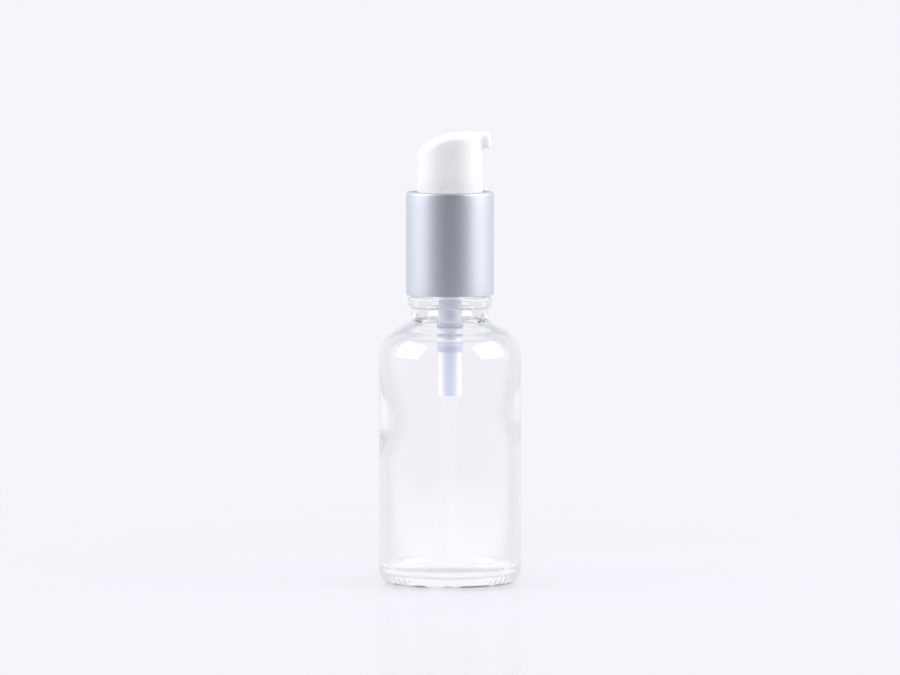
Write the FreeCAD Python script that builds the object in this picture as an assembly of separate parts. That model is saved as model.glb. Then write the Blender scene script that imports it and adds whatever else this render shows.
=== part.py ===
"""Pump oil bottle: a small clear glass bottle with a screw-on pump under a tall aluminium collar.

Millimetres. The origin is the centre of the base on the table, +Z is up and the spout points along +X.
"""
import FreeCAD
import Part
import math
import os
from FreeCAD import Vector

# Glass bottle
body_d = 33.0
bottle_h = 79.0
lower_wall = 1.9
settled_wall = 3.2
shoulder_wall = 2.0
settle_z = 32.0
settle_run = 11.0
settle_round = 30.0
base_wall = 2.2
push_up = 1.5
bearing_w = 1.8
bearing_round = 0.6
heel_round = 2.8
inner_heel_round = 4.0
shoulder_slope = 27.7
shoulder_round = 7.5
inner_shoulder_round = 5.5
neck_d = 17.9
neck_h = 3.05
neck_foot_round = 1.2
inner_foot_round = 3.5
bead_d = 19.6
bead_h = 2.6
bead_round = 0.7
finish_d = 15.5
finish_h = 12.3
mouth_d = 11.3
mouth_round = 0.6

# Screw closure and the aluminium collar round it
thread_depth = 0.95
thread_gap = 0.15
closure_wall = 0.9
closure_rise = 0.4
deck_t = 1.0
deck_gap = 0.2
guide_ribs = 12
guide_rib_w = 0.8
guide_gap = 0.25
collar_d = 20.4
collar_wall = 0.45
collar_h = 24.0
collar_gap = 0.35
collar_lip = 1.05
collar_round = 0.75

# Pump housing, gasket and dip tube
gasket_t = 0.8
gasket_inset = 0.25
gasket_gap = 0.15
chamber_d = 6.6
chamber_wall = 1.0
chamber_drop = 10.4
flange_t = 1.2
snap_h = 0.8
snap_over = 0.45
snap_rise = 0.1
valve_wall = 0.9
cone_drop = 1.8
inlet_d = 2.0
upper_ring_drop = 18.7
upper_ring_h = 1.7
lower_ring_drop = 22.3
lower_ring_h = 1.4
lower_ring_cone = 1.6
ring_over = 0.4
tail_drop = 35.3
socket_h = 11.5
dip_tube_d = 3.5
dip_tube_bore = 2.3
dip_tube_lean = 4.5
dip_bend_round = 60.0
dip_bend_drop = 1.0
dip_tube_clear = 1.4

# Inlet ball and its cage
ball_d = 3.2
ball_gap = 0.15
ball_rise = 1.2
ball_seat_gap = 0.03
cage_t = 1.2
cage_d = 2.2
cage_fingers = 3
cage_finger_w = 0.8

# Stroke, spring, valve rod, piston, stem and lock ring
stroke = 6.0
spring_wire = 0.55
spring_turns = 3
spring_gap = 0.3
spring_spare = 0.2
spring_end_closing = 0.45
rod_head_t = 0.6
rod_head_gap = 0.45
rod_d = 3.0
rod_groove = 0.6
rod_pin_h = 5.0
spigot_h = 1.0
spigot_gap = 0.3
piston_sleeve_h = 2.4
piston_sleeve_wall = 0.64
piston_lip_over = 0.5
piston_lip_wall = 0.5
piston_lip_h = 0.8
piston_waist = 0.25
piston_web_t = 0.9
piston_shift = 0.8
stop_gap = 0.1
stem_d = 3.8
stem_bore = 2.2
stem_end_h = 1.0
stem_shoulder_t = 1.0
stem_shoulder_gap = 0.4
plug_h = 2.6
cap_t = 1.0
cap_wall = 0.6
cap_skirt_h = 1.8
fit_gap = 0.02
running_gap = 0.05

# Actuator
head_d = 15.3
head_draft = 0.15
head_h = 16.45
head_wall = 1.2
ceiling_t = 1.6
skirt_gap = 0.4
slope_round = 15.5
slope_start = 3.0
crown_round = 32.0
rim_round = 0.6
spout_reach = 9.6
spout_t = 3.6
spout_tip_w = 5.0
spout_root_w = 7.0
spout_tip_round = 0.9
spout_edge_round = 0.4
spout_root_round = 0.9
boss_wall = 1.1
boss_gap = 0.3
stem_socket_h = 3.6
channel_d = 1.8
channel_drop = 1.85
channel_wall = 0.9

# Radii and heights that follow from the sizes above
body_r = body_d / 2
neck_r = neck_d / 2
bead_r = bead_d / 2
finish_r = finish_d / 2
mouth_r = mouth_d / 2
bead_top = bottle_h - finish_h
bead_z = bead_top - bead_h
slope_rise = math.tan(math.radians(shoulder_slope))
slope_wall = shoulder_wall / math.cos(math.radians(shoulder_slope))
neck_foot_z = bead_z - neck_h
shoulder_z = neck_foot_z - (body_r - neck_r) * slope_rise

chamber_bore_r = chamber_d / 2
chamber_r = chamber_bore_r + chamber_wall
chamber_floor = bottle_h - chamber_drop
flange_z = bottle_h + gasket_t
deck_z = flange_z + flange_t
deck_top = deck_z + deck_t

collar_r = collar_d / 2
collar_z = bead_top + collar_gap
collar_top = collar_z + collar_h
closure_r = collar_r - collar_wall - fit_gap
closure_top = collar_top - collar_wall - fit_gap
skirt_z = deck_top + skirt_gap + stroke
head_r = head_d / 2
head_top = skirt_z + head_h

tail_end = bottle_h - tail_drop
dip_tube_r = dip_tube_d / 2
dip_socket_r = dip_tube_r + fit_gap
tail_r = dip_socket_r + valve_wall
ball_r = ball_d / 2
ball_bore_r = ball_r + ball_gap
cage_r = cage_d / 2
cage_z = chamber_floor - cage_t
ball_z = cage_z - stop_gap - ball_rise - math.sqrt(ball_r ** 2 - cage_r ** 2)

spring_r = chamber_bore_r - spring_gap - spring_wire / 2
spring_h = stroke + spring_spare + (spring_turns + 1) * spring_wire
rod_r = rod_d / 2
rod_head_z = chamber_floor + spring_h
rod_head_r = chamber_bore_r - rod_head_gap
sleeve_z = rod_head_z + rod_head_t + rod_head_r - rod_r
sleeve_top = sleeve_z + piston_sleeve_h
stem_r = stem_d / 2
stem_bore_r = stem_bore / 2
stem_end = sleeve_top + piston_shift + stop_gap
shoulder_bottom = stem_end + stem_end_h
shoulder_top = shoulder_bottom + stem_shoulder_t
plug_z = shoulder_top + stop_gap
turret_top = plug_z + plug_h
cap_top = turret_top + cap_t
boss_z = cap_top + stroke + boss_gap
stem_top = boss_z + stem_socket_h

axis_foot = Vector(0, 0, 0)
along_x = Vector(1, 0, 0)
along_y = Vector(0, 1, 0)
along_z = Vector(0, 0, 1)
touching = 1e-6
full_turn = 360
level_slack = 1e-4


def corner_arc(before, corner, after, radius):
    """First, middle and last point of the arc that rounds a corner."""
    back = (before - corner).normalize()
    ahead = (after - corner).normalize()
    half = back.getAngle(ahead) / 2
    reach = radius / math.tan(half)
    inward = (back + ahead).normalize()
    middle = corner + inward * (radius / math.sin(half) - radius)
    return corner + back * reach, middle, corner + ahead * reach


def outline_face(corners, across=along_x, up=along_z, origin=axis_foot):
    """Flat face from (across, up) corners; a third number rounds that corner."""
    points = [origin + across * corner[0] + up * corner[1] for corner in corners]
    spans = []
    for index, corner in enumerate(corners):
        point = points[index]
        after = points[(index + 1) % len(points)]
        if len(corner) == 3:
            spans.append(corner_arc(points[index - 1], point, after, corner[2]))
        else:
            spans.append((point, None, point))
    edges = []
    for index, (first, middle, last) in enumerate(spans):
        if middle is not None:
            edges.append(Part.Arc(first, middle, last).toShape())
        following = spans[(index + 1) % len(spans)][0]
        if last.distanceToPoint(following) > touching:
            edges.append(Part.LineSegment(last, following).toShape())
    return Part.Face(Part.Wire(edges))


def turned(*corners):
    """Solid turned about the bottle's axis from (radius, height) corners."""
    return outline_face(corners).revolve(axis_foot, along_z, full_turn)


def around(shape, count):
    """Copies of a shape, evenly spaced about the bottle's axis."""
    copies = []
    for index in range(count):
        copy = shape.copy()
        copy.rotate(axis_foot, along_z, full_turn * index / count)
        copies.append(copy)
    return copies


def level_edges(shape, height, low_r, high_r):
    """Round edges of a turned shape that lie at one height, between two radii."""
    found = []
    for edge in shape.Edges:
        box = edge.BoundBox
        is_level = max(abs(box.ZMin - height), abs(box.ZMax - height)) < level_slack
        if is_level and low_r < box.XMax < high_r:
            found.append(edge)
    return found


def glass_bottle():
    bearing_r = body_r - heel_round - bearing_w
    dome_r = (bearing_r ** 2 + push_up ** 2) / (2 * push_up)
    dome_centre = Vector(0, 0, push_up - dome_r)
    outside = turned(
        (0, 0), (body_r, 0, heel_round), (body_r, shoulder_z, shoulder_round),
        (neck_r, neck_foot_z, neck_foot_round), (neck_r, bead_z),
        (bead_r, bead_z, bead_round), (bead_r, bead_top, bead_round), (finish_r, bead_top),
        (finish_r, bottle_h), (0, bottle_h))
    outside = outside.cut(Part.makeSphere(dome_r, dome_centre))
    lower_r = body_r - lower_wall
    settled_r = body_r - settled_wall
    upper_r = body_r - shoulder_wall
    inner_shoulder = shoulder_z + shoulder_wall * slope_rise - slope_wall
    inner_foot = inner_shoulder + (upper_r - mouth_r) * slope_rise
    inside = turned(
        (0, base_wall), (lower_r, base_wall, inner_heel_round),
        (lower_r, settle_z - settle_run / 2, settle_round),
        (settled_r, settle_z + settle_run / 2, settle_round),
        (upper_r, inner_shoulder, inner_shoulder_round), (mouth_r, inner_foot, inner_foot_round),
        (mouth_r, bottle_h + mouth_r), (0, bottle_h + mouth_r))
    inside = inside.cut(Part.makeSphere(dome_r + base_wall, dome_centre))
    glass = outside.cut(inside)
    glass = glass.makeFillet(mouth_round, level_edges(glass, bottle_h, 0, body_r))
    return glass.makeFillet(bearing_round, level_edges(glass, 0, 0, bearing_r + bearing_w / 2))


def neck_gasket():
    return turned(
        (chamber_r + gasket_gap, bottle_h), (finish_r - gasket_inset, bottle_h),
        (finish_r - gasket_inset, flange_z), (chamber_r + gasket_gap, flange_z))


def pump_housing():
    seat_r = ball_r / math.sqrt(2)
    seat_z = ball_z - seat_r - ball_seat_gap * math.sqrt(2)
    inlet_r = inlet_d / 2
    ring_r = tail_r + ring_over
    upper_ring_top = bottle_h - upper_ring_drop
    lower_ring_top = bottle_h - lower_ring_drop
    lower_ring_foot = lower_ring_top - lower_ring_h
    snap_z = deck_top + snap_rise
    body = turned(
        (chamber_bore_r, turret_top), (chamber_r, turret_top),
        (chamber_r, snap_z + snap_h), (chamber_r + snap_over, snap_z + snap_h / 2),
        (chamber_r + snap_over, snap_z), (chamber_r, snap_z),
        (chamber_r, deck_z), (finish_r, deck_z), (finish_r, flange_z), (chamber_r, flange_z),
        (chamber_r, chamber_floor), (tail_r, chamber_floor - cone_drop),
        (tail_r, upper_ring_top), (ring_r, upper_ring_top),
        (ring_r, upper_ring_top - upper_ring_h), (tail_r, upper_ring_top - upper_ring_h),
        (tail_r, lower_ring_top), (ring_r, lower_ring_top),
        (ring_r, lower_ring_foot), (tail_r, lower_ring_foot - lower_ring_cone),
        (tail_r, tail_end), (dip_socket_r, tail_end), (dip_socket_r, tail_end + socket_h),
        (inlet_r, tail_end + socket_h), (inlet_r, seat_z - (seat_r - inlet_r)),
        (ball_bore_r, seat_z + (ball_bore_r - seat_r)), (ball_bore_r, chamber_floor),
        (chamber_bore_r, chamber_floor))
    finger_root = ball_bore_r + valve_wall / 2
    finger_corner = Vector(cage_r, -cage_finger_w / 2, cage_z)
    finger = Part.makeBox(finger_root - cage_r, cage_finger_w, cage_t, finger_corner)
    return body.fuse(around(finger, cage_fingers)).removeSplitter()


def check_ball():
    return Part.makeSphere(ball_r, Vector(0, 0, ball_z))


def dip_tube():
    """Tube pushed into the housing's tail, with a slight lean from being stored on a reel."""
    lean = math.radians(dip_tube_lean)
    top = Vector(0, 0, tail_end + socket_h - stop_gap)
    bend_start = Vector(0, 0, tail_end - dip_bend_drop)
    bend_end = bend_start + Vector(math.cos(lean) - 1, 0, -math.sin(lean)) * dip_bend_round
    half = lean / 2
    bend_middle = bend_start + Vector(math.cos(half) - 1, 0, -math.sin(half)) * dip_bend_round
    foot_z = push_up + base_wall + dip_tube_clear
    run = (bend_end.z - foot_z) / math.cos(lean)
    foot = bend_end + Vector(-math.sin(lean), 0, -math.cos(lean)) * run
    path = Part.Wire([
        Part.LineSegment(top, bend_start).toShape(),
        Part.Arc(bend_start, bend_middle, bend_end).toShape(),
        Part.LineSegment(bend_end, foot).toShape()])
    solids = []
    for radius in (dip_tube_r, dip_tube_bore / 2):
        section = Part.Wire([Part.makeCircle(radius, top, along_z * -1)])
        solids.append(path.makePipeShell([section], True))
    return solids[0].cut(solids[1])


def biarc(start, start_way, end, end_way):
    """Two arcs that leave one point along a way and reach another along its own way."""
    span = end - start
    ways = start_way + end_way
    spread = 2 * (1 - start_way.dot(end_way))
    along = span.dot(ways)
    arm = (math.sqrt(along ** 2 + spread * span.dot(span)) - along) / spread
    first_apex = start + start_way * arm
    second_apex = end - end_way * arm
    joint = (first_apex + second_apex) / 2
    arcs = []
    for head, apex, tail in ((start, first_apex, joint), (joint, second_apex, end)):
        chord_middle = (head + tail) / 2
        turn = chord_middle.distanceToPoint(head) / arm
        bow = chord_middle + (apex - chord_middle) * (turn / (1 + turn))
        arcs.append(Part.Arc(head, bow, tail).toShape())
    return arcs


def spring_point(turn):
    """Point of the spring's centre line after a number of turns, closer wound at both ends."""
    angle = 2 * math.pi * turn
    share = turn / spring_turns
    ease = spring_end_closing * math.sin(2 * math.pi * share) / (2 * math.pi)
    low = chamber_floor + fit_gap + spring_wire / 2
    rise = spring_h - spring_wire - 2 * fit_gap
    return Vector(spring_r * math.cos(angle), spring_r * math.sin(angle), low + rise * (share - ease))


def spring_way(turn):
    """Direction of the spring's centre line after a number of turns."""
    step = 1e-4
    return (spring_point(turn + step) - spring_point(turn - step)).normalize()


def main_spring():
    arcs = []
    for index in range(4 * spring_turns):
        first = index / 4
        last = (index + 1) / 4
        arcs += biarc(spring_point(first), spring_way(first), spring_point(last), spring_way(last))
    path = Part.Wire(arcs)
    section = Part.Wire([Part.makeCircle(spring_wire / 2, spring_point(0), spring_way(0))])
    spring = path.makePipeShell([section], True)
    per_turn = 24
    samples = [spring_point(index / per_turn) for index in range(per_turn * spring_turns + 1)]
    gaps = []
    for index, point in enumerate(samples):
        for other in samples[index + per_turn // 2:]:
            gaps.append(point.distanceToPoint(other) - spring_wire)
    ideal = path.Length * math.pi * (spring_wire / 2) ** 2
    print(f"spring: least gap to itself {min(gaps):.2f} mm, volume {spring.Volume / ideal:.4f} of ideal")
    return spring


def valve_rod():
    spigot_r = spring_r - spring_wire / 2 - spigot_gap
    pin_r = stem_bore_r - fit_gap
    pin_z = stem_end - fit_gap
    rod = turned(
        (0, rod_head_z - spigot_h), (spigot_r, rod_head_z - spigot_h), (spigot_r, rod_head_z),
        (rod_head_r, rod_head_z), (rod_head_r, rod_head_z + rod_head_t), (rod_r, sleeve_z),
        (rod_r, pin_z), (pin_r, pin_z), (pin_r, stem_end + rod_pin_h), (0, stem_end + rod_pin_h))
    groove_corner = Vector(pin_r - rod_groove, -rod_groove / 2, sleeve_z + fit_gap)
    groove = Part.makeBox(rod_d, rod_groove, rod_pin_h + stem_end - sleeve_z, groove_corner)
    return rod.cut(around(groove, 2))


def piston():
    sleeve_r = rod_r + running_gap
    sleeve_outer = sleeve_r + piston_sleeve_wall
    lip_r = chamber_bore_r - running_gap
    lip_inner = lip_r - piston_lip_wall
    waist_r = lip_r - piston_waist
    low = sleeve_z - piston_lip_over
    high = sleeve_top + piston_lip_over
    web_z = (low + high - piston_web_t) / 2
    web_top = web_z + piston_web_t
    return turned(
        (sleeve_r, sleeve_z), (sleeve_outer, sleeve_z), (sleeve_outer, web_z), (lip_inner, web_z),
        (lip_inner, low), (lip_r, low), (lip_r, low + piston_lip_h), (waist_r, web_z),
        (waist_r, web_top), (lip_r, high - piston_lip_h), (lip_r, high), (lip_inner, high),
        (lip_inner, web_top), (sleeve_outer, web_top), (sleeve_outer, sleeve_top), (sleeve_r, sleeve_top))


def stem():
    shoulder_r = chamber_bore_r - stem_shoulder_gap
    return turned(
        (stem_bore_r, stem_end), (stem_r, stem_end), (stem_r, shoulder_bottom),
        (shoulder_r, shoulder_bottom), (shoulder_r, shoulder_top),
        (stem_r, shoulder_top), (stem_r, stem_top), (stem_bore_r, stem_top))


def lock_ring():
    hole_r = stem_r + running_gap
    plug_r = chamber_bore_r - fit_gap
    cap_inner = chamber_r + fit_gap
    seat = turret_top + fit_gap
    return turned(
        (hole_r, plug_z), (plug_r, plug_z), (plug_r, seat), (cap_inner, seat),
        (cap_inner, turret_top - cap_skirt_h), (cap_inner + cap_wall, turret_top - cap_skirt_h),
        (cap_inner + cap_wall, cap_top), (hole_r, cap_top))


def screw_closure():
    thread_r = finish_r + thread_depth + thread_gap
    wall_r = closure_r - closure_wall
    deck_r = chamber_r + deck_gap
    guide_r = head_r + guide_gap
    shell = turned(
        (deck_r, deck_z), (thread_r, deck_z), (thread_r, collar_z + closure_rise),
        (closure_r, collar_z + closure_rise), (closure_r, closure_top), (wall_r, closure_top),
        (wall_r, deck_top), (deck_r, deck_top))
    rib_corner = Vector(guide_r, -guide_rib_w / 2, deck_top - deck_t / 2)
    rib = Part.makeBox(
        wall_r + closure_wall / 2 - guide_r, guide_rib_w, closure_top - deck_top + deck_t / 2, rib_corner)
    return shell.fuse(around(rib, guide_ribs)).removeSplitter()


def aluminium_collar():
    inner_r = collar_r - collar_wall
    lip_r = collar_r - collar_lip
    return turned(
        (inner_r, collar_z), (collar_r, collar_z), (collar_r, collar_top, collar_round),
        (lip_r, collar_top), (lip_r, collar_top - collar_wall), (inner_r, collar_top - collar_wall))


def below_top(drop):
    """Everything under the actuator's top, lowered by a drop: sloped along X and crowned across."""
    top = head_top - drop
    foot = skirt_z - head_wall

    def on_slope(degrees):
        angle = math.radians(degrees)
        fall = slope_round * (1 - math.cos(angle))
        return Vector(slope_start - slope_round * math.sin(angle), 0, top - fall)

    slope_sweep = 60
    crown_sweep = 120
    slope_end = on_slope(slope_sweep)
    tip = Vector(head_d, 0, top)
    tip_foot = Vector(head_d, 0, foot)
    slope_foot = Vector(slope_end.x, 0, foot)
    profile = Part.Face(Part.Wire([
        Part.LineSegment(tip, on_slope(0)).toShape(),
        Part.Arc(on_slope(0), on_slope(slope_sweep / 2), slope_end).toShape(),
        Part.LineSegment(slope_end, slope_foot).toShape(),
        Part.LineSegment(slope_foot, tip_foot).toShape(),
        Part.LineSegment(tip_foot, tip).toShape()]))
    crown_axis = Vector(0, 0, top - crown_round)
    profile.rotate(crown_axis, along_x, -crown_sweep / 2)
    return profile.revolve(crown_axis, along_x, crown_sweep)


def spout_blank():
    """The spout before it joins the head: tapered in plan, with its lower edges rounded."""
    tip_half = spout_tip_w / 2
    root_half = spout_root_w / 2
    spout_z = head_top - spout_t
    plan = outline_face(
        [(0, -root_half), (spout_reach, -tip_half, spout_tip_round),
         (spout_reach, tip_half, spout_tip_round), (0, root_half)],
        along_x, along_y, Vector(0, 0, spout_z))
    blank = plan.extrude(along_z * spout_t)
    lower = []
    for edge in blank.Edges:
        box = edge.BoundBox
        if box.ZMax < spout_z + touching and box.XMax > touching:
            lower.append(edge)
    return blank.makeFillet(spout_edge_round, lower)


def root_edges(head):
    """Edges where the spout leaves the round side of the head."""
    side = next(face for face in head.Faces if isinstance(face.Surface, Part.Cone))
    found = []
    for edge in side.Edges:
        low = edge.BoundBox.ZMin
        if skirt_z + touching < low < head_top - touching:
            found.append(edge)
    return found


def rim_edges(head):
    """Edges round the head's top: those that only one of its crowned faces has."""
    crowned = []
    for face in head.Faces:
        surface = face.Surface
        is_slope = isinstance(surface, Part.Toroid) and abs(surface.MinorRadius - slope_round) < touching
        is_level = isinstance(surface, Part.Cylinder) and abs(surface.Radius - crown_round) < touching
        if is_slope or is_level:
            crowned += face.Edges
    return [edge for edge in crowned if sum(edge.isSame(other) for other in crowned) == 1]


def actuator():
    channel_z = head_top - channel_drop
    channel_r = channel_d / 2
    boss_r = stem_r + running_gap + boss_wall
    shell = Part.makeCone(head_r, head_r - head_draft, head_h, Vector(0, 0, skirt_z))
    head = shell.fuse(spout_blank()).removeSplitter()
    head = head.makeFillet(spout_root_round, root_edges(head))
    head = head.common(below_top(0)).removeSplitter()
    head = head.makeFillet(rim_round, rim_edges(head))
    hollow_r = head_r - head_wall
    hollow = Part.makeCone(hollow_r, hollow_r - head_draft, head_h, Vector(0, 0, skirt_z))
    hollow = hollow.common(below_top(ceiling_t))
    boss = Part.makeCylinder(boss_r, head_h, Vector(0, 0, boss_z))
    duct = Part.makeCylinder(channel_r + channel_wall, head_d, Vector(0, 0, channel_z), along_x)
    hollow = hollow.cut([boss, duct])
    seat_h = stem_top + running_gap - boss_z
    seat = Part.makeCylinder(stem_r + running_gap, seat_h, Vector(0, 0, boss_z))
    riser = Part.makeCylinder(stem_bore_r, channel_z - boss_z, Vector(0, 0, boss_z))
    channel = Part.makeCylinder(channel_r, head_d, Vector(0, 0, channel_z), along_x)
    return head.cut([hollow, seat, riser, channel])


pieces = [
    glass_bottle, neck_gasket, pump_housing, check_ball, dip_tube, main_spring, valve_rod, piston,
    stem, lock_ring, screw_closure, aluminium_collar, actuator]

os.makedirs("parts", exist_ok=True)
for piece in pieces:
    solid = piece()
    solid.exportStep(f"parts/{piece.__name__}.step")
    kinds = f"{len(solid.Solids)} solid, valid {solid.isValid()}"
    print(f"{piece.__name__}: {kinds}, {solid.Volume:.1f} mm3")
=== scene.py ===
"""Pump oil bottle, dressed: clear glass, satin aluminium collar, white spouted head and the pump inside."""
import bmesh
import bpy
import math
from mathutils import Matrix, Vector
from mathutils.bvhtree import BVHTree


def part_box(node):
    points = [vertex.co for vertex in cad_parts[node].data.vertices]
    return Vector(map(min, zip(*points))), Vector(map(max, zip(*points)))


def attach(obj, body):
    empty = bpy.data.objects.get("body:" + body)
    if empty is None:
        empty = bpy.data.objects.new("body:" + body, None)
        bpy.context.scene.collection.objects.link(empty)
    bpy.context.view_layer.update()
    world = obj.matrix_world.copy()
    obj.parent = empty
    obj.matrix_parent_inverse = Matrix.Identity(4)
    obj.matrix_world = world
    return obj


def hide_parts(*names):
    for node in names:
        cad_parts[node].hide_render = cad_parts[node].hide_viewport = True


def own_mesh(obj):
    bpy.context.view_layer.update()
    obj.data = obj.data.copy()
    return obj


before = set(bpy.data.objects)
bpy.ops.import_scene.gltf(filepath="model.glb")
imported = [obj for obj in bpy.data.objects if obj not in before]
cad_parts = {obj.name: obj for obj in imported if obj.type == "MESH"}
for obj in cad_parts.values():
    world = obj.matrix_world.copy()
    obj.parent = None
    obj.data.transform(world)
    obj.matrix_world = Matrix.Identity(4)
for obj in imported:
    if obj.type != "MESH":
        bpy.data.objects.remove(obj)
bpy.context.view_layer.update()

mm = 0.001
turn = 2 * math.pi

# Glass bottle: all lengths here and below are in millimetres, all angles in degrees
wall_low = 1.9
wall_high = 1.8
wall_unevenness = 0.03
wall_fade = 6.0
swell_grow = 0.85
swell_lean = 0.22
swell_z = 38.3
swell_tilt = 1.4
swell_rise = 15.0
swell_fall = 9.0
base_wall = 1.6
base_lean = 0.03
push_up = 1.5
bearing_w = 1.8
bearing_round = 0.6
heel_round = 2.8
inner_heel_round = 3.0
inner_base_inset = 3.7
shoulder_slope = 27.7
shoulder_round = 7.5
inner_shoulder_round = 6.0
neck_r = 8.95
neck_h = 3.05
neck_foot_round = 1.2
inner_foot_round = 4.5
bead_r = 9.8
bead_h = 2.6
bead_round = 0.7
bead_root_round = 0.25
finish_r = 7.75
finish_h = 12.3
mouth_r = 5.65
mouth_round = 0.6
glass_sides = 240
glass_sharp = 70
wall_rows = 64
base_rows = 12

# Screw thread on the neck; the run-out at its ends is in turns
thread_pitch = 3.0
thread_depth = 0.9
thread_w = 1.7
thread_turns = 1.6
thread_run_out = 0.12
thread_fullness = 0.8
thread_start = 1.9
thread_row = 0.2

# Grip notches under the base, and the painted contact shade on the ring the bottle stands on, patchy like
# stipple: the shade grows from an edge to its full strength
notch_count = 48
notch_depth = 0.1
notch_run_out = 0.6
contact_shade_edge_r = 13.6
contact_shade_full_r = 14.0
contact_shade_edge_z = 0.9
contact_shade_full_z = 0.4

# Aluminium collar
collar_wall = 0.45
collar_lip = 1.05
collar_round = 0.75
collar_lip_round = 0.2025
collar_hem = 0.16
collar_sides = 192
collar_sharp = 60

# Head: the steps that soften it leave its underside, where a face's upward part is below the limit
head_mesh = 0.2
head_soften = 70
head_underside = -0.8
head_sharp = 180

# Pump: the tail is the part of the housing that hangs clear in the glass; it carries painted highlights on
# its edges and painted shade on its rings, and above it the plastic is painted lighter
tail_edge_z = 64.0
tail_full_z = 62.2
tail_ring_edge_r = 2.68
tail_ring_full_r = 2.8
moulded_sharp = 35
spring_sharp = 50
ball_sharp = 60

# Dip tube
tube_r = 1.75
tube_bore_r = 1.15
tube_lean = 3.6
tube_bend_z = 42.7
tube_bend_round = 60.0
tube_steps = 8
tube_sides = 40
tube_sharp = 40

# Outlines: the longest steps between points, a short straight lead, and the gap that is welded
lead = 1.0
weld_gap = 0.001
heel_step = 0.5
base_step = 0.8
collar_step = 3.0
outline_step = 4.0

# Camera, with the photograph's frame
frame_w = 900
pixels_per_mm = 4.309
aim_z = 57.1
camera_distance = 1600.0
camera_rise = 3.7
camera_near = 10.0
sensor_w = 36.0

# Studio colours: what the eye, clear pieces, shiny pieces and matt pieces meet
backdrop = (0.921, 0.913, 0.965)
backdrop_through = (0.94, 0.925, 0.98)
floor_through = (1.01, 0.995, 1.05)
floor_paper = (0.66, 0.655, 0.69)
contact_shadow_colour = (0.08, 0.085, 0.1)
room_front = (0.115, 0.115, 0.135)
room_fill = (0.33, 0.31, 0.33)
room_top = (1.15, 1.14, 1.15)
room_side = (0.82, 0.82, 0.865)
room_high = (0.62, 0.63, 0.70)

# Where the room changes, by the forward, upward or sideways part of a direction or its square
ahead_squared = (0.80, 0.995)
front_forward = (0.25, -0.75)
fill_forward = (-0.45, 0.3)
fill_upward = (0.1, 0.95)
high_from_upward = (0.07, 0.25)
high_to_upward = (0.68, 0.42)
high_across_squared = (0.16, 0.06)

# Studio floor: a faint ring of painted contact shadow lies under the rim of the bottle's foot, and the
# shares run from 0 to 1
floor_r = 350.0
floor_sides = 96
floor_drop = 0.05
open_edge_r = 56.0
open_full_r = 210.0
far_edge_r = 105.0
far_full_r = 332.5
contact_shadow_in = 13.2
contact_shadow_in_full = 13.8
contact_shadow_out_full = 14.2
contact_shadow_out = 15.0
contact_shadow_share = 0.25
under_bottle_r = 20.0
beside_bottle_r = 50.0
near_glow = 0.34
through_glow = 0.85
sheen_share = 0.20

# Softboxes
lamp_turn = 77.0
lamp_rise = 28.0
lamp_distance = 600.0
lamp_w = 496.3
lamp_colour = (1.0, 0.985, 1.0)
lamp_radiance = {"left_softbox": 2.8, "right_softbox": 3.2}

# Turns of light that the clear glass needs
clear_bounces = 40
glossy_bounces = 24


class Value:
    """A socket that joins in expressions, where each operator adds a Math node."""

    def __init__(self, finish, socket):
        self.finish = finish
        self.socket = socket

    def maths(self, operation, first, second):
        return self.finish.add("ShaderNodeMath", {"operation": operation}, {0: first, 1: second})

    def __add__(self, other):
        return self.maths("ADD", self, other)

    def __radd__(self, other):
        return self.maths("ADD", other, self)

    def __sub__(self, other):
        return self.maths("SUBTRACT", self, other)

    def __rsub__(self, other):
        return self.maths("SUBTRACT", other, self)

    def __mul__(self, other):
        return self.maths("MULTIPLY", self, other)

    def __rmul__(self, other):
        return self.maths("MULTIPLY", other, self)

    def at_least(self, other):
        return self.maths("MAXIMUM", self, other)


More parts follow.
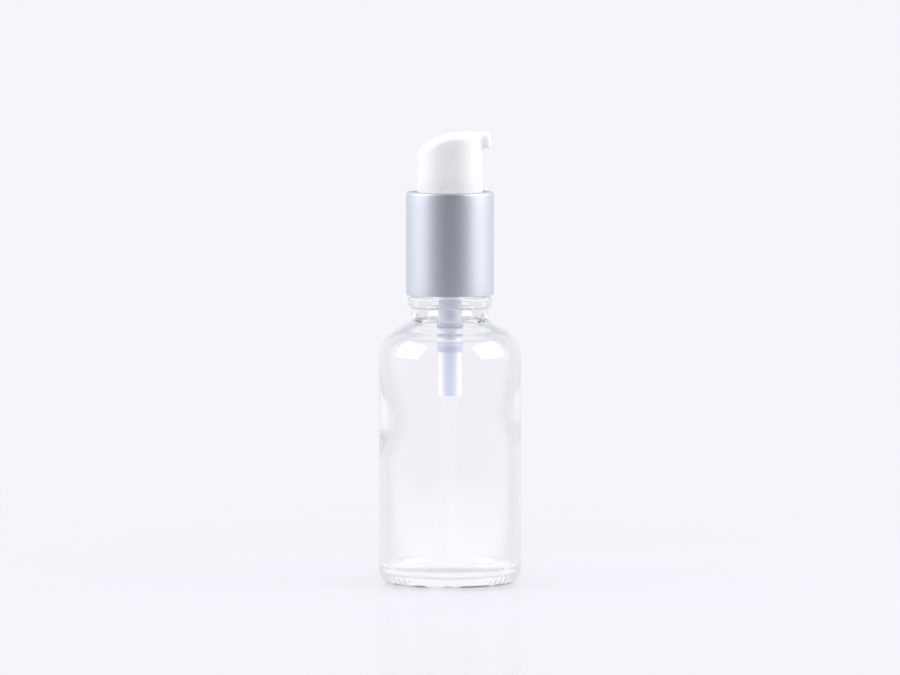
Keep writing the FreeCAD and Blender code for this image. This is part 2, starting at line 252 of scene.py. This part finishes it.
class Finish:
    """A node tree under construction: of a material, or of the world."""

    def __init__(self, owner):
        owner.use_nodes = True
        self.owner = owner
        self.tree = owner.node_tree
        self.tree.nodes.clear()

    def add(self, kind, settings=None, sockets=None, output=0):
        """Adds one node: its settings first, then a value or a link for each socket; gives one output."""
        node = self.tree.nodes.new(kind)
        for key, value in (settings or {}).items():
            setattr(node, key, value)
        for key, value in (sockets or {}).items():
            if isinstance(value, Value):
                self.tree.links.new(value.socket, node.inputs[key])
            else:
                node.inputs[key].default_value = value
        return Value(self, node.outputs[output]) if node.outputs else None

    def place(self):
        """Position on the piece, in metres."""
        return self.add("ShaderNodeTexCoord", output="Object")

    def stretched(self, x, y, z):
        """Position on the piece, scaled along each axis."""
        return self.add("ShaderNodeVectorMath", {"operation": "MULTIPLY"}, {0: self.place(), 1: (x, y, z)})

    def part(self, vector, axis):
        """One axis of a position or direction."""
        return self.add("ShaderNodeSeparateXYZ", {}, {0: vector}, axis)

    def length(self, vector):
        return self.add("ShaderNodeVectorMath", {"operation": "LENGTH"}, {0: vector}, "Value")

    def height(self):
        """Height on the piece, in metres."""
        return self.part(self.place(), "Z")

    def off_axis(self):
        """Distance from the upright axis, in metres."""
        return self.length(self.stretched(1.0, 1.0, 0.0))

    def grazing(self):
        """0 where a surface faces the eye, 1 where it is seen edge on."""
        return self.add("ShaderNodeLayerWeight", {}, {"Blend": 0.5}, "Facing")

    def light_path(self, output):
        return self.add("ShaderNodeLightPath", output=output)

    def noise(self, scale, detail=2.0, roughness=0.5, place=None):
        """Soft noise, about 0 to 1; scale is in waves to the metre."""
        return self.add("ShaderNodeTexNoise", {}, {
            "Vector": place or self.place(), "Scale": scale, "Detail": detail, "Roughness": roughness})

    def ramp(self, value, low, high):
        """Value carried from low..high to 0..1 with soft ends; low may be the larger."""
        return self.add("ShaderNodeMapRange", {"interpolation_type": "SMOOTHSTEP"}, {
            "Value": value, "From Min": low, "From Max": high})

    def colour_mix(self, share, first, second):
        """Colour between two others, each a link or three numbers."""
        ends = [end if isinstance(end, Value) else (*end, 1.0) for end in (first, second)]
        return self.add("ShaderNodeMix", {"data_type": "RGBA"}, {0: share, 6: ends[0], 7: ends[1]}, 2)

    def shader_mix(self, share, first, second):
        """Shader between two others."""
        return self.add("ShaderNodeMixShader", {}, {0: share, 1: first, 2: second})

    def bump(self, height, distance, strength=1.0):
        """Normal that follows a height; distance is in metres."""
        return self.add("ShaderNodeBump", {}, {
            "Height": height, "Distance": distance, "Strength": strength})

    def surface(self, shader, filling=None):
        """Joins a shader, and the filling of a clear piece, to the output; gives the material or world."""
        in_world = isinstance(self.owner, bpy.types.World)
        sockets = {"Surface": shader}
        if filling:
            sockets["Volume"] = filling
        self.add("ShaderNodeOutputWorld" if in_world else "ShaderNodeOutputMaterial", {}, sockets)
        return self.owner


def new_finish(name):
    return Finish(bpy.data.materials.new(name))


def clear_glass():
    """Clear glass with faint ripples and smudges and a green cast where it is thick, with painted shade on
    its rim, patchy painted contact shade on its foot, and a painted glow where light turns many times inside
    it.
    """
    f = new_finish("clear_glass")
    ripple = f.noise(90.0, 1.0, place=f.stretched(1.0, 1.0, 0.35))
    smudge = f.ramp(f.noise(140.0, 4.0), 0.55, 0.8)
    rim = f.grazing()
    outside = 1.0 - f.add("ShaderNodeNewGeometry", output="Backfacing")
    glass = f.add("ShaderNodeBsdfPrincipled", {}, {
        "Base Color": (0.995, 0.993, 0.996, 1.0),
        "Roughness": smudge * 0.012,
        "IOR": 1.5,
        "Transmission Weight": 1.0,
        "Normal": f.bump(ripple, 0.00004)})

    # Painted glow: where light has turned many times inside the glass, the glass gives out an even pale grey
    # instead
    trapped_glow = f.add("ShaderNodeEmission", {}, {"Color": (0.73, 0.77, 0.795, 1.0)})
    glass = f.shader_mix(f.ramp(f.light_path("Ray Depth"), 6.0, 8.0), glass, trapped_glow)

    # Painted contact shade: patchy near-black on the outside of the ring that the bottle stands on, where it
    # meets the floor
    patchy = f.ramp(f.noise(170.0, 2.0), 0.34, 0.52)
    on_ring = f.ramp(f.off_axis(), contact_shade_edge_r * mm, contact_shade_full_r * mm)
    at_foot = f.ramp(f.height(), contact_shade_edge_z * mm, contact_shade_full_z * mm)
    contact_shade = f.add("ShaderNodeBsdfDiffuse", {}, {"Color": (0.03, 0.035, 0.045, 1.0)})
    glass = f.shader_mix(0.75 * on_ring * at_foot * patchy * outside, glass, contact_shade)

    # Painted shade: a soft grey glow along the rim, where the wall is seen edge on
    rim_shade = f.add("ShaderNodeEmission", {}, {"Color": (0.76, 0.77, 0.81, 1.0)})
    glass = f.shader_mix(0.45 * f.ramp(rim, 0.62, 0.88) * outside, glass, rim_shade)

    # Lamplight goes straight through to the pump and the floor, and less of it near the rim
    clear_way = f.add("ShaderNodeBsdfTransparent", {}, {"Color": (0.99, 0.99, 0.99, 1.0)})
    rim_way = f.add("ShaderNodeBsdfTransparent", {}, {"Color": (0.55, 0.56, 0.58, 1.0)})
    lit_through = f.shader_mix(rim * rim * rim, clear_way, rim_way)
    lighting = f.light_path("Is Shadow Ray").at_least(f.light_path("Is Diffuse Ray"))
    tint = f.add("ShaderNodeVolumeAbsorption", {}, {"Color": (0.80, 0.93, 0.89, 1.0), "Density": 6.0})
    return f.surface(f.shader_mix(lighting, glass, lit_through), tint)


def white_plastic():
    """Moulded white plastic: a faint cloudiness, a fine grain and a little light under the skin."""
    f = new_finish("white_plastic")
    cloud = f.noise(160.0, 3.0)
    grain = f.noise(5200.0, 2.0)
    return f.surface(f.add("ShaderNodeBsdfPrincipled", {}, {
        "Base Color": f.colour_mix(cloud, (0.875, 0.865, 0.875), (0.90, 0.89, 0.90)),
        "Roughness": 0.30 + cloud * 0.08,
        "IOR": 1.49,
        "Subsurface Weight": 0.25,
        "Subsurface Radius": (1.0, 1.0, 1.0),
        "Subsurface Scale": 0.0012,
        "Normal": f.bump(grain, 0.000006, 0.6)}))


def satin_aluminium():
    """Anodised aluminium with a fine blasted grain, faint turned marks and traces of handling."""
    f = new_finish("satin_aluminium")
    grain = f.noise(11000.0, 2.0, 0.6)
    turned_marks = f.noise(420.0, 2.0, place=f.stretched(0.03, 0.03, 8.0))
    handling = f.ramp(f.noise(120.0, 3.0), 0.5, 0.8)
    return f.surface(f.add("ShaderNodeBsdfPrincipled", {}, {
        "Base Color": f.colour_mix(turned_marks, (0.645, 0.674, 0.728), (0.67, 0.699, 0.748)),
        "Metallic": 1.0,
        "Roughness": 0.51 + grain * 0.06 + handling * 0.03,
        "Normal": f.bump(grain, 0.000004, 0.7)}))


def natural_plastic():
    """Undyed bluish plastic: the tail's bore shows as a core between bright edges, which are painted
    highlights.
    """
    f = new_finish("natural_plastic")
    cloud = f.noise(260.0, 3.0)
    grain = f.noise(4200.0, 2.0)
    on_ring = f.ramp(f.off_axis(), tail_ring_edge_r * mm, tail_ring_full_r * mm)
    on_tail = f.ramp(f.height(), tail_edge_z * mm, tail_full_z * mm)
    # Painted highlights: the tail's edges, seen edge on, are whitened as where the side lamps catch them,
    # but not above the tail nor on its rings
    edge = f.ramp(f.grazing(), 0.05, 0.34) * on_tail * (1.0 - on_ring)
    core = f.colour_mix(cloud, (0.74, 0.79, 0.95), (0.78, 0.83, 0.98))
    # Painted shade: the tail's rings are coloured darker, as their undersides would be in shade
    tail = f.colour_mix(on_ring, core, (0.64, 0.67, 0.82))
    # Painted light: above the tail the plastic is a lighter colour, making up for light that the neck and
    # collar keep from it
    shade = f.colour_mix(on_tail, (0.84, 0.90, 1.0), tail)
    return f.surface(f.add("ShaderNodeBsdfPrincipled", {}, {
        "Base Color": f.colour_mix(edge, shade, (0.96, 0.97, 1.0)),
        "Roughness": 0.32 + cloud * 0.1,
        "IOR": 1.49,
        "Subsurface Weight": 0.12,
        "Subsurface Radius": (1.0, 1.05, 1.2),
        "Subsurface Scale": 0.0008,
        "Normal": f.bump(grain, 0.000008, 0.6)}))


def tube_plastic():
    """Clear drawn tube, pale along its edges with a painted glow that is faint all over."""
    f = new_finish("tube_plastic")
    drawn = f.noise(700.0, 2.0, place=f.stretched(1.0, 1.0, 0.04))
    edge = f.grazing()
    # Painted glow: a pale emission, strongest at the edges, stands in for light scattered in the tube
    milk_glow = f.colour_mix(drawn, (0.93, 0.94, 0.97), (0.97, 0.98, 1.0))
    milky_glow = f.add("ShaderNodeEmission", {}, {"Color": milk_glow})
    clear = f.add("ShaderNodeBsdfTransparent", {}, {"Color": (0.995, 0.997, 1.0, 1.0)})
    return f.surface(f.shader_mix(0.12 + edge * edge * edge * 0.4, clear, milky_glow))


def soft_plastic():
    """Soft, slightly waxy plastic of the piston's lips."""
    f = new_finish("soft_plastic")
    cloud = f.noise(400.0, 3.0)
    return f.surface(f.add("ShaderNodeBsdfPrincipled", {}, {
        "Base Color": f.colour_mix(cloud, (0.79, 0.81, 0.84), (0.85, 0.87, 0.9)),
        "Roughness": 0.45 + cloud * 0.12,
        "Subsurface Weight": 0.3,
        "Subsurface Scale": 0.001,
        "Normal": f.bump(cloud, 0.00001)}))


def gasket_foam():
    """Pressed foam with fine cells."""
    f = new_finish("gasket_foam")
    cells = f.add("ShaderNodeTexVoronoi", {}, {"Vector": f.place(), "Scale": 4500.0}, "Distance")
    return f.surface(f.add("ShaderNodeBsdfPrincipled", {}, {
        "Base Color": f.colour_mix(cells, (0.8, 0.8, 0.8), (0.9, 0.9, 0.89)),
        "Roughness": 0.75 + cells * 0.15,
        "Normal": f.bump(cells, 0.00004)}))


def spring_steel():
    """Drawn wire with a fine uneven sheen."""
    f = new_finish("spring_steel")
    drawn = f.noise(2600.0, 3.0)
    return f.surface(f.add("ShaderNodeBsdfPrincipled", {}, {
        "Base Color": f.colour_mix(drawn, (0.55, 0.55, 0.56), (0.66, 0.66, 0.66)),
        "Metallic": 1.0,
        "Roughness": 0.22 + drawn * 0.16,
        "Normal": f.bump(drawn, 0.000006)}))


def polished_steel():
    """Lapped ball steel."""
    f = new_finish("polished_steel")
    lapped = f.noise(3800.0, 2.0)
    return f.surface(f.add("ShaderNodeBsdfPrincipled", {}, {
        "Base Color": f.colour_mix(lapped, (0.66, 0.66, 0.67), (0.72, 0.72, 0.73)),
        "Metallic": 1.0,
        "Roughness": 0.06 + lapped * 0.06}))


finishes = {make.__name__: make() for make in (
    clear_glass, white_plastic, satin_aluminium, natural_plastic, tube_plastic, soft_plastic, gasket_foam,
    spring_steel, polished_steel)}


def arc_points(before, corner, after, radius, step=0.16):
    """Points of the arc that rounds a corner; step is the turn between points, in radians."""
    back = (before - corner).normalized()
    ahead = (after - corner).normalized()
    half = back.angle(ahead) / 2
    inward = (back + ahead).normalized()
    centre = corner + inward * (radius / math.sin(half))
    first = corner + back * (radius / math.tan(half)) - centre
    last = corner + ahead * (radius / math.tan(half)) - centre
    sweep = first.angle(last)
    count = max(2, math.ceil(sweep / step))
    points = []
    for index in range(count + 1):
        share = index / count
        swung = first * math.sin((1 - share) * sweep) + last * math.sin(share * sweep)
        points.append(centre + swung / math.sin(sweep))
    return points


def rounded(corners):
    """Open line of (radius, height) points from corners; a third number rounds that corner."""
    places = [Vector(corner[:2]) for corner in corners]
    line = []
    for index, corner in enumerate(corners):
        if len(corner) == 3:
            line += arc_points(places[index - 1], places[index], places[index + 1], corner[2])
        else:
            line.append(places[index])
    return line


def spaced(line, longest):
    """The line with extra points, so that no step is longer than a length."""
    points = [line[0]]
    for start, end in zip(line, line[1:]):
        count = max(1, math.ceil((end - start).length / longest))
        points += [start.lerp(end, index / count) for index in range(1, count + 1)]
    return points


def soft_window(value, low, high, soft):
    """1 between two values, 0 outside, with soft ends."""
    up = min(1.0, max(0.0, (value - low) / soft))
    down = min(1.0, max(0.0, (high - value) / soft))
    share = min(up, down)
    return share * share * (3 - 2 * share)


def finished_mesh(name, shape, sharp):
    """Mesh of a shape, shaded smooth except over edges sharper than an angle."""
    mesh = bpy.data.meshes.new(name)
    shape.to_mesh(mesh)
    shape.free()
    mesh.shade_smooth()
    mesh.set_sharp_from_angle(angle=math.radians(sharp))
    return mesh


def new_piece(name, mesh, body, slot, nodes):
    """Object of a finished mesh that rides on a body, wears a finish and takes the place of solids."""
    piece = bpy.data.objects.new(name, mesh)
    bpy.context.scene.collection.objects.link(piece)
    mesh.materials.clear()
    mesh.materials.append(finishes[slot])
    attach(piece, body)
    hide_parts(*nodes)
    return piece


def join_rows(shape, row, after):
    """Faces between two rows of points round the axis; either row may be a single point on it."""
    sides = max(len(row), len(after))
    for index in range(sides):
        following = (index + 1) % sides
        if len(row) == 1:
            shape.faces.new((row[0], after[following], after[index]))
        elif len(after) == 1:
            shape.faces.new((row[index], row[following], after[0]))
        else:
            shape.faces.new((row[index], row[following], after[following], after[index]))


def lathe(name, rings, sides, sharp):
    """Mesh turned about the axis from rings, each a function of the angle that gives (radius, height)."""
    shape = bmesh.new()
    rows = []
    for ring in rings:
        radius, height = ring(0.0)
        if radius < weld_gap:
            rows.append([shape.verts.new((0, 0, height * mm))])
            continue
        row = []
        for index in range(sides):
            angle = turn * index / sides
            radius, height = ring(angle)
            x = radius * math.cos(angle)
            y = radius * math.sin(angle)
            row.append(shape.verts.new((x * mm, y * mm, height * mm)))
        rows.append(row)
    for row, after in zip(rows, rows[1:]):
        join_rows(shape, row, after)
    bmesh.ops.recalc_face_normals(shape, faces=shape.faces)
    return finished_mesh(name, shape, sharp)


def plain_ring(point):
    return lambda angle: (point.x, point.y)


def thread_ring(height, base_z):
    """Ring of the threaded neck: a rounded ridge that climbs as it goes round."""
    def ring(angle):
        grown = 0.0
        for lap in range(math.ceil(thread_turns) + 1):
            turns = lap + angle / turn
            if turns > thread_turns:
                continue
            crest = base_z + thread_start + thread_pitch * turns
            across = abs(height - crest) / (thread_w / 2)
            if across < 1:
                ends = soft_window(turns, 0.0, thread_turns, thread_run_out)
                grown = max(grown, math.cos(across * math.pi / 2) ** thread_fullness * ends)
        return finish_r + thread_depth * grown, height
    return ring


def glass_bottle():
    """Bottle turned in one skin: up the outside from under the base, over the lip and down the inside."""
    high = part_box("glass_bottle")[1]
    body_r = high.x / mm
    bottle_h = high.z / mm
    slope = math.tan(math.radians(shoulder_slope))
    bead_top = bottle_h - finish_h
    bead_z = bead_top - bead_h
    foot_z = bead_z - neck_h
    shoulder_z = foot_z - (body_r - neck_r) * slope
    bearing_r = body_r - heel_round - bearing_w
    dome_r = (bearing_r ** 2 + push_up ** 2) / (2 * push_up)

    def dome(radius, thick):
        """Point of the push-up, or of the inner base a thickness above it."""
        return Vector((radius, math.sqrt((dome_r + thick) ** 2 - radius ** 2) + push_up - dome_r))

    def notched_ring(point):
        """Ring of the heel, with the grip notches where the bottle stands."""
        standing = soft_window(point.x, bearing_r, bearing_r + bearing_w, notch_run_out)

        def ring(angle):
            dip = notch_depth * (0.5 + 0.5 * math.cos(notch_count * angle))
            return point.x, point.y + dip * standing
        return ring

    rings = [plain_ring(dome(bearing_r * row / base_rows, 0)) for row in range(base_rows - 1)]
    heel = rounded([
        tuple(dome(bearing_r * (base_rows - 1) / base_rows, 0)), (bearing_r, 0, bearing_round),
        (body_r, 0, heel_round), (body_r, shoulder_z / 2)])
    rings += [notched_ring(point) for point in spaced(heel[:-1], heel_step)]
    side = rounded([
        (body_r, heel_round + lead), (body_r, shoulder_z, shoulder_round), (neck_r, foot_z, neck_foot_round),
        (neck_r, bead_z, bead_root_round), (bead_r, bead_z, bead_round), (bead_r, bead_top, bead_round),
        (finish_r, bead_top, bead_root_round), (finish_r, bead_top + lead)])
    rings += [plain_ring(point) for point in spaced(side[:-1], outline_step)]
    thread_z = bead_top + bead_root_round
    thread_rows = int((finish_h - bead_root_round - mouth_round) / thread_row)
    rings += [thread_ring(thread_z + thread_row * (row + 1), bead_top) for row in range(thread_rows)]

    upper_r = body_r - wall_high
    lower_r = body_r - wall_low
    inner_shoulder = shoulder_z + wall_high * slope - wall_high / math.cos(math.radians(shoulder_slope))
    inner_foot = inner_shoulder + (upper_r - mouth_r) * slope
    lip = rounded([
        (finish_r, bottle_h - 2 * lead), (finish_r, bottle_h, mouth_round), (mouth_r, bottle_h, mouth_round),
        (mouth_r, inner_foot, inner_foot_round), (upper_r, inner_shoulder, inner_shoulder_round),
        (upper_r, inner_shoulder - inner_shoulder_round)])
    rings += [plain_ring(point) for point in spaced(lip[1:-1], outline_step)]
    wall_top = lip[-2].y
    wall_foot = base_wall + inner_heel_round

    def wall(height, angle):
        """Wall thickness: the glass set with a swelling at either side, the larger one on the left."""
        sideways = math.cos(angle)
        over = height - swell_z - swell_tilt * sideways
        reach = swell_rise if over > 0 else swell_fall
        near = soft_window(over, -reach, reach, reach)
        swelling = swell_grow * (1 - swell_lean * sideways) * abs(sideways) ** 3 * near
        uneven = wall_unevenness * (math.sin(2 * angle + 0.7) + 0.6 * math.sin(3 * angle - height / 7))
        level = wall_low + (wall_high - wall_low) * (height - wall_foot) / (wall_top - wall_foot)
        return level + swelling + uneven * soft_window(height, wall_foot, wall_top, wall_fade)

    def lean(radius, height, angle):
        """Rise of the inside towards the back, eased round the inner heel."""
        eased = soft_window(height, wall_foot - inner_heel_round, 2 * wall_foot, 2.5 * inner_heel_round)
        return base_lean * radius * math.sin(angle) * (1 - eased)

    def wall_ring(height):
        return lambda angle: (body_r - wall(height, angle), height + lean(lower_r, height, angle))

    def base_ring(point):
        return lambda angle: (point.x, point.y + lean(point.x, point.y, angle))

    for row in range(1, wall_rows):
        rings.append(wall_ring(wall_top + (wall_foot - wall_top) * row / wall_rows))
    inner_edge = lower_r - inner_base_inset
    inside = rounded([
        (lower_r, wall_top), (lower_r, base_wall, inner_heel_round), tuple(dome(inner_edge, base_wall))])
    for row in range(1, base_rows + 1):
        inside.append(dome(inner_edge * (base_rows - row) / base_rows, base_wall))
    rings += [base_ring(point) for point in spaced(inside[1:], base_step)]
    mesh = lathe("glass_bottle_skin", rings, glass_sides, glass_sharp)
    new_piece("glass_bottle_skin", mesh, "bottle", "clear_glass", ["glass_bottle"])


def aluminium_collar():
    """Thin drawn sleeve with a hemmed foot and a lip rolled in at the top."""
    low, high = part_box("aluminium_collar")
    outer = high.x / mm
    foot = low.z / mm
    top = high.z / mm
    inner = outer - collar_wall
    lip = outer - collar_lip
    line = rounded([
        (inner, (foot + top) / 2), (inner, foot, collar_hem), (outer, foot, collar_hem),
        (outer, top, collar_round), (lip, top, collar_lip_round),
        (lip, top - collar_wall, collar_lip_round), (inner, top - collar_wall), (inner, (foot + top) / 2)])
    rings = [plain_ring(point) for point in spaced(line, collar_step)]
    mesh = lathe("aluminium_collar_skin", rings, collar_sides, collar_sharp)
    new_piece("aluminium_collar_skin", mesh, "closure", "satin_aluminium", ["aluminium_collar"])


def dress_solid(node, body, slot, sharp):
    """Copy of a solid with its round faces shaded smooth."""
    shape = bmesh.new()
    shape.from_mesh(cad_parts[node].data)
    bmesh.ops.remove_doubles(shape, verts=shape.verts, dist=weld_gap * mm)
    mesh = finished_mesh(node + "_skin", shape, sharp)
    return new_piece(node + "_skin", mesh, body, slot, [node])


def actuator():
    """The head's solid with a moulding's soft edges: the outer skin is evened out, the inside is kept."""
    piece = dress_solid("actuator", "actuator_head", "white_plastic", head_sharp)
    remesh = piece.modifiers.new("even_mesh", "REMESH")
    remesh.mode = "VOXEL"
    remesh.voxel_size = head_mesh * mm
    evened = piece.evaluated_get(bpy.context.evaluated_depsgraph_get())
    shape = bmesh.new()
    shape.from_mesh(evened.data)
    piece.modifiers.clear()
    shape.normal_update()
    tree = BVHTree.FromBMesh(shape)
    outer = []
    for vert in shape.verts:
        start = vert.co + vert.normal * head_mesh * mm
        if vert.normal.z > head_underside and tree.ray_cast(start, vert.normal)[0] is None:
            outer.append(vert)
    for step in range(head_soften):
        bmesh.ops.smooth_vert(
            shape, verts=outer, factor=0.5, use_axis_x=True, use_axis_y=True, use_axis_z=True)
    shape.to_mesh(piece.data)
    shape.free()
    piece.data.shade_smooth()


def dip_tube():
    """Tube swept down the housing's tail, round a slight bend and on to its foot."""
    low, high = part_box("dip_tube")
    lean = math.radians(tube_lean)
    foot = low.z / mm + tube_r * math.sin(lean)
    stations = [(0.0, high.z / mm, 0.0), (0.0, tube_bend_z, 0.0)]
    for step in range(1, tube_steps + 1):
        turned = lean * step / tube_steps
        x = tube_bend_round * (math.cos(turned) - 1)
        z = tube_bend_z - tube_bend_round * math.sin(turned)
        stations.append((x, z, turned))
    bend_x, bend_z, turned = stations[-1]
    run = (bend_z - foot) / math.cos(lean)
    for step in range(1, tube_steps + 1):
        gone = run * step / tube_steps
        stations.append((bend_x - gone * math.sin(lean), bend_z - gone * math.cos(lean), lean))
    shape = bmesh.new()
    rows = []
    for radius, order in ((tube_r, 1), (tube_bore_r, -1)):
        for x, z, turned in stations[::order]:
            row = []
            for index in range(tube_sides):
                angle = turn * index / tube_sides
                across = radius * math.cos(angle)
                row.append(shape.verts.new((
                    (x + across * math.cos(turned)) * mm, radius * math.sin(angle) * mm,
                    (z - across * math.sin(turned)) * mm)))
            rows.append(row)
    for row, after in zip(rows, rows[1:] + rows[:1]):
        join_rows(shape, row, after)
    bmesh.ops.recalc_face_normals(shape, faces=shape.faces)
    mesh = finished_mesh("dip_tube_skin", shape, tube_sharp)
    new_piece("dip_tube_skin", mesh, "pump_core", "tube_plastic", ["dip_tube"])


# Solids whose shape is kept: the body that each rides on, its finish, and the angle of its crisp edges
dressed = {
    "screw_closure": ("closure", "white_plastic", moulded_sharp),
    "lock_ring": ("pump_core", "white_plastic", moulded_sharp),
    "pump_housing": ("pump_core", "natural_plastic", moulded_sharp),
    "stem": ("plunger", "natural_plastic", moulded_sharp),
    "valve_rod": ("plunger", "natural_plastic", moulded_sharp),
    "piston": ("sliding_piston", "soft_plastic", moulded_sharp),
    "neck_gasket": ("pump_core", "gasket_foam", moulded_sharp),
    "main_spring": ("pump_core", "spring_steel", spring_sharp),
    "check_ball": ("inlet_ball", "polished_steel", ball_sharp),
}
glass_bottle()
aluminium_collar()
actuator()
dip_tube()
for node, (body, slot, sharp) in dressed.items():
    piece = dress_solid(node, body, slot, sharp)
    if node == "main_spring":
        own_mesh(piece)


def floor_finish():
    """Pale paper with a slight sheen, which holds the bottle's shadow, carries a faint ring of painted
    contact shadow under its foot and fades into the backdrop.
    """
    f = new_finish("studio_floor")
    spot = f.length(f.place())
    outward = f.add("ShaderNodeVectorMath", {"operation": "NORMALIZE"}, {0: f.place()})
    forward = f.part(outward, "Y")
    far = f.ramp(spot, far_edge_r * mm, far_full_r * mm)
    open_floor = f.ramp(spot, open_edge_r * mm, open_full_r * mm)
    sees = f.light_path("Is Camera Ray")
    through = f.light_path("Is Transmission Ray")
    beneath = f.ramp(spot, beside_bottle_r * mm, under_bottle_r * mm)
    ahead = f.ramp(forward * forward, *ahead_squared).at_least(beneath)
    behind = f.colour_mix(ahead, room_side, f.colour_mix(far, floor_through, backdrop_through))
    mirrored = f.colour_mix(far * f.ramp(forward, *front_forward), backdrop, room_front)
    lit = f.colour_mix(through, mirrored, behind)
    # Painted contact shadow: a faint dark ring where the bottle's foot meets the floor
    inner_edge = f.ramp(spot, contact_shadow_in * mm, contact_shadow_in_full * mm)
    outer_edge = f.ramp(spot, contact_shadow_out * mm, contact_shadow_out_full * mm)
    contact_shadow = contact_shadow_share * inner_edge * outer_edge
    shade = f.colour_mix(contact_shadow, f.colour_mix(sees, lit, backdrop), contact_shadow_colour)
    glow = f.add("ShaderNodeEmission", {}, {"Color": shade})
    paper = f.add("ShaderNodeBsdfDiffuse", {}, {"Color": (*floor_paper, 1.0)})
    glowing = (near_glow + (1 - near_glow) * open_floor).at_least(through_glow * through)
    sheen = f.add("ShaderNodeBsdfGlossy", {}, {"Color": (1.0, 1.0, 1.0, 1.0), "Roughness": 0.12})
    return f.surface(f.shader_mix(sheen_share * sees, f.shader_mix(glowing, paper, glow), sheen))


def studio_floor():
    """Round floor just under the bottle."""
    corners = []
    for index in range(floor_sides):
        angle = turn * index / floor_sides
        corners.append((floor_r * mm * math.cos(angle), floor_r * mm * math.sin(angle), 0))
    mesh = bpy.data.meshes.new("studio_floor")
    mesh.from_pydata(corners, [], [tuple(range(floor_sides))])
    mesh.materials.append(floor_finish())
    floor = bpy.data.objects.new("studio_floor", mesh)
    floor.location.z = -floor_drop * mm
    bpy.context.scene.collection.objects.link(floor)


def studio_world():
    """Pale backdrop behind, and a dim room in front that shiny and matt pieces meet."""
    world = bpy.data.worlds.new("studio")
    bpy.context.scene.world = world
    f = Finish(world)
    way = f.add("ShaderNodeTexCoord", output="Generated")
    across = f.part(way, "X")
    forward = f.part(way, "Y")
    upward = f.part(way, "Z")
    sees = f.light_path("Is Camera Ray")
    through = f.light_path("Is Transmission Ray")
    fills = f.light_path("Is Diffuse Ray")
    mirrored = f.colour_mix(f.ramp(forward, *front_forward), backdrop, room_front)
    overhead = f.colour_mix(f.ramp(upward, *fill_upward), room_fill, room_top)
    filled = f.colour_mix(f.ramp(forward, *fill_forward), overhead, backdrop)
    around = f.colour_mix(fills, mirrored, filled)
    ahead = f.ramp(forward * forward, *ahead_squared)
    level = f.ramp(upward, *high_from_upward) * f.ramp(upward, *high_to_upward)
    high = level * f.ramp(across * across, *high_across_squared)
    behind = f.colour_mix(high, f.colour_mix(ahead, room_side, backdrop_through), room_high)
    seen = f.colour_mix(sees, f.colour_mix(through, around, behind), backdrop)
    f.surface(f.add("ShaderNodeBackground", {}, {"Color": seen, "Strength": 1.0}))


def softbox(name, side):
    """Square softbox to one side, a little in front and above, facing the bottle."""
    lamp = bpy.data.lights.new(name, "AREA")
    lamp.shape = "SQUARE"
    lamp.size = lamp_w * mm
    lamp.energy = lamp_radiance[name] * math.pi * (lamp_w * mm) ** 2
    lamp.color = lamp_colour
    round_z = math.radians(lamp_turn) * side
    up = math.radians(lamp_rise)
    way = Vector((math.sin(round_z) * math.cos(up), -math.cos(round_z) * math.cos(up), math.sin(up)))
    box = bpy.data.objects.new(name, lamp)
    box.location = Vector((0, 0, aim_z * mm)) + way * lamp_distance * mm
    box.rotation_euler = way.to_track_quat("Z", "Y").to_euler()
    box.visible_camera = False
    bpy.context.scene.collection.objects.link(box)


def camera():
    """Long lens, a little above the middle of the bottle."""
    view = bpy.data.cameras.new("camera")
    view.sensor_fit = "HORIZONTAL"
    view.sensor_width = sensor_w
    view.lens = sensor_w * camera_distance * pixels_per_mm / frame_w
    view.clip_start = camera_near * mm
    rise = math.radians(camera_rise)
    back = Vector((0, -math.cos(rise), math.sin(rise)))
    eye = bpy.data.objects.new("camera", view)
    eye.location = Vector((0, 0, aim_z * mm)) + back * camera_distance * mm
    eye.rotation_euler = back.to_track_quat("Z", "Y").to_euler()
    bpy.context.scene.collection.objects.link(eye)
    bpy.context.scene.camera = eye


studio_floor()
studio_world()
softbox("left_softbox", -1)
softbox("right_softbox", 1)
camera()
scene = bpy.context.scene
scene.view_settings.view_transform = "Standard"
scene.cycles.max_bounces = clear_bounces
scene.cycles.glossy_bounces = glossy_bounces
scene.cycles.transmission_bounces = clear_bounces
scene.cycles.transparent_max_bounces = clear_bounces
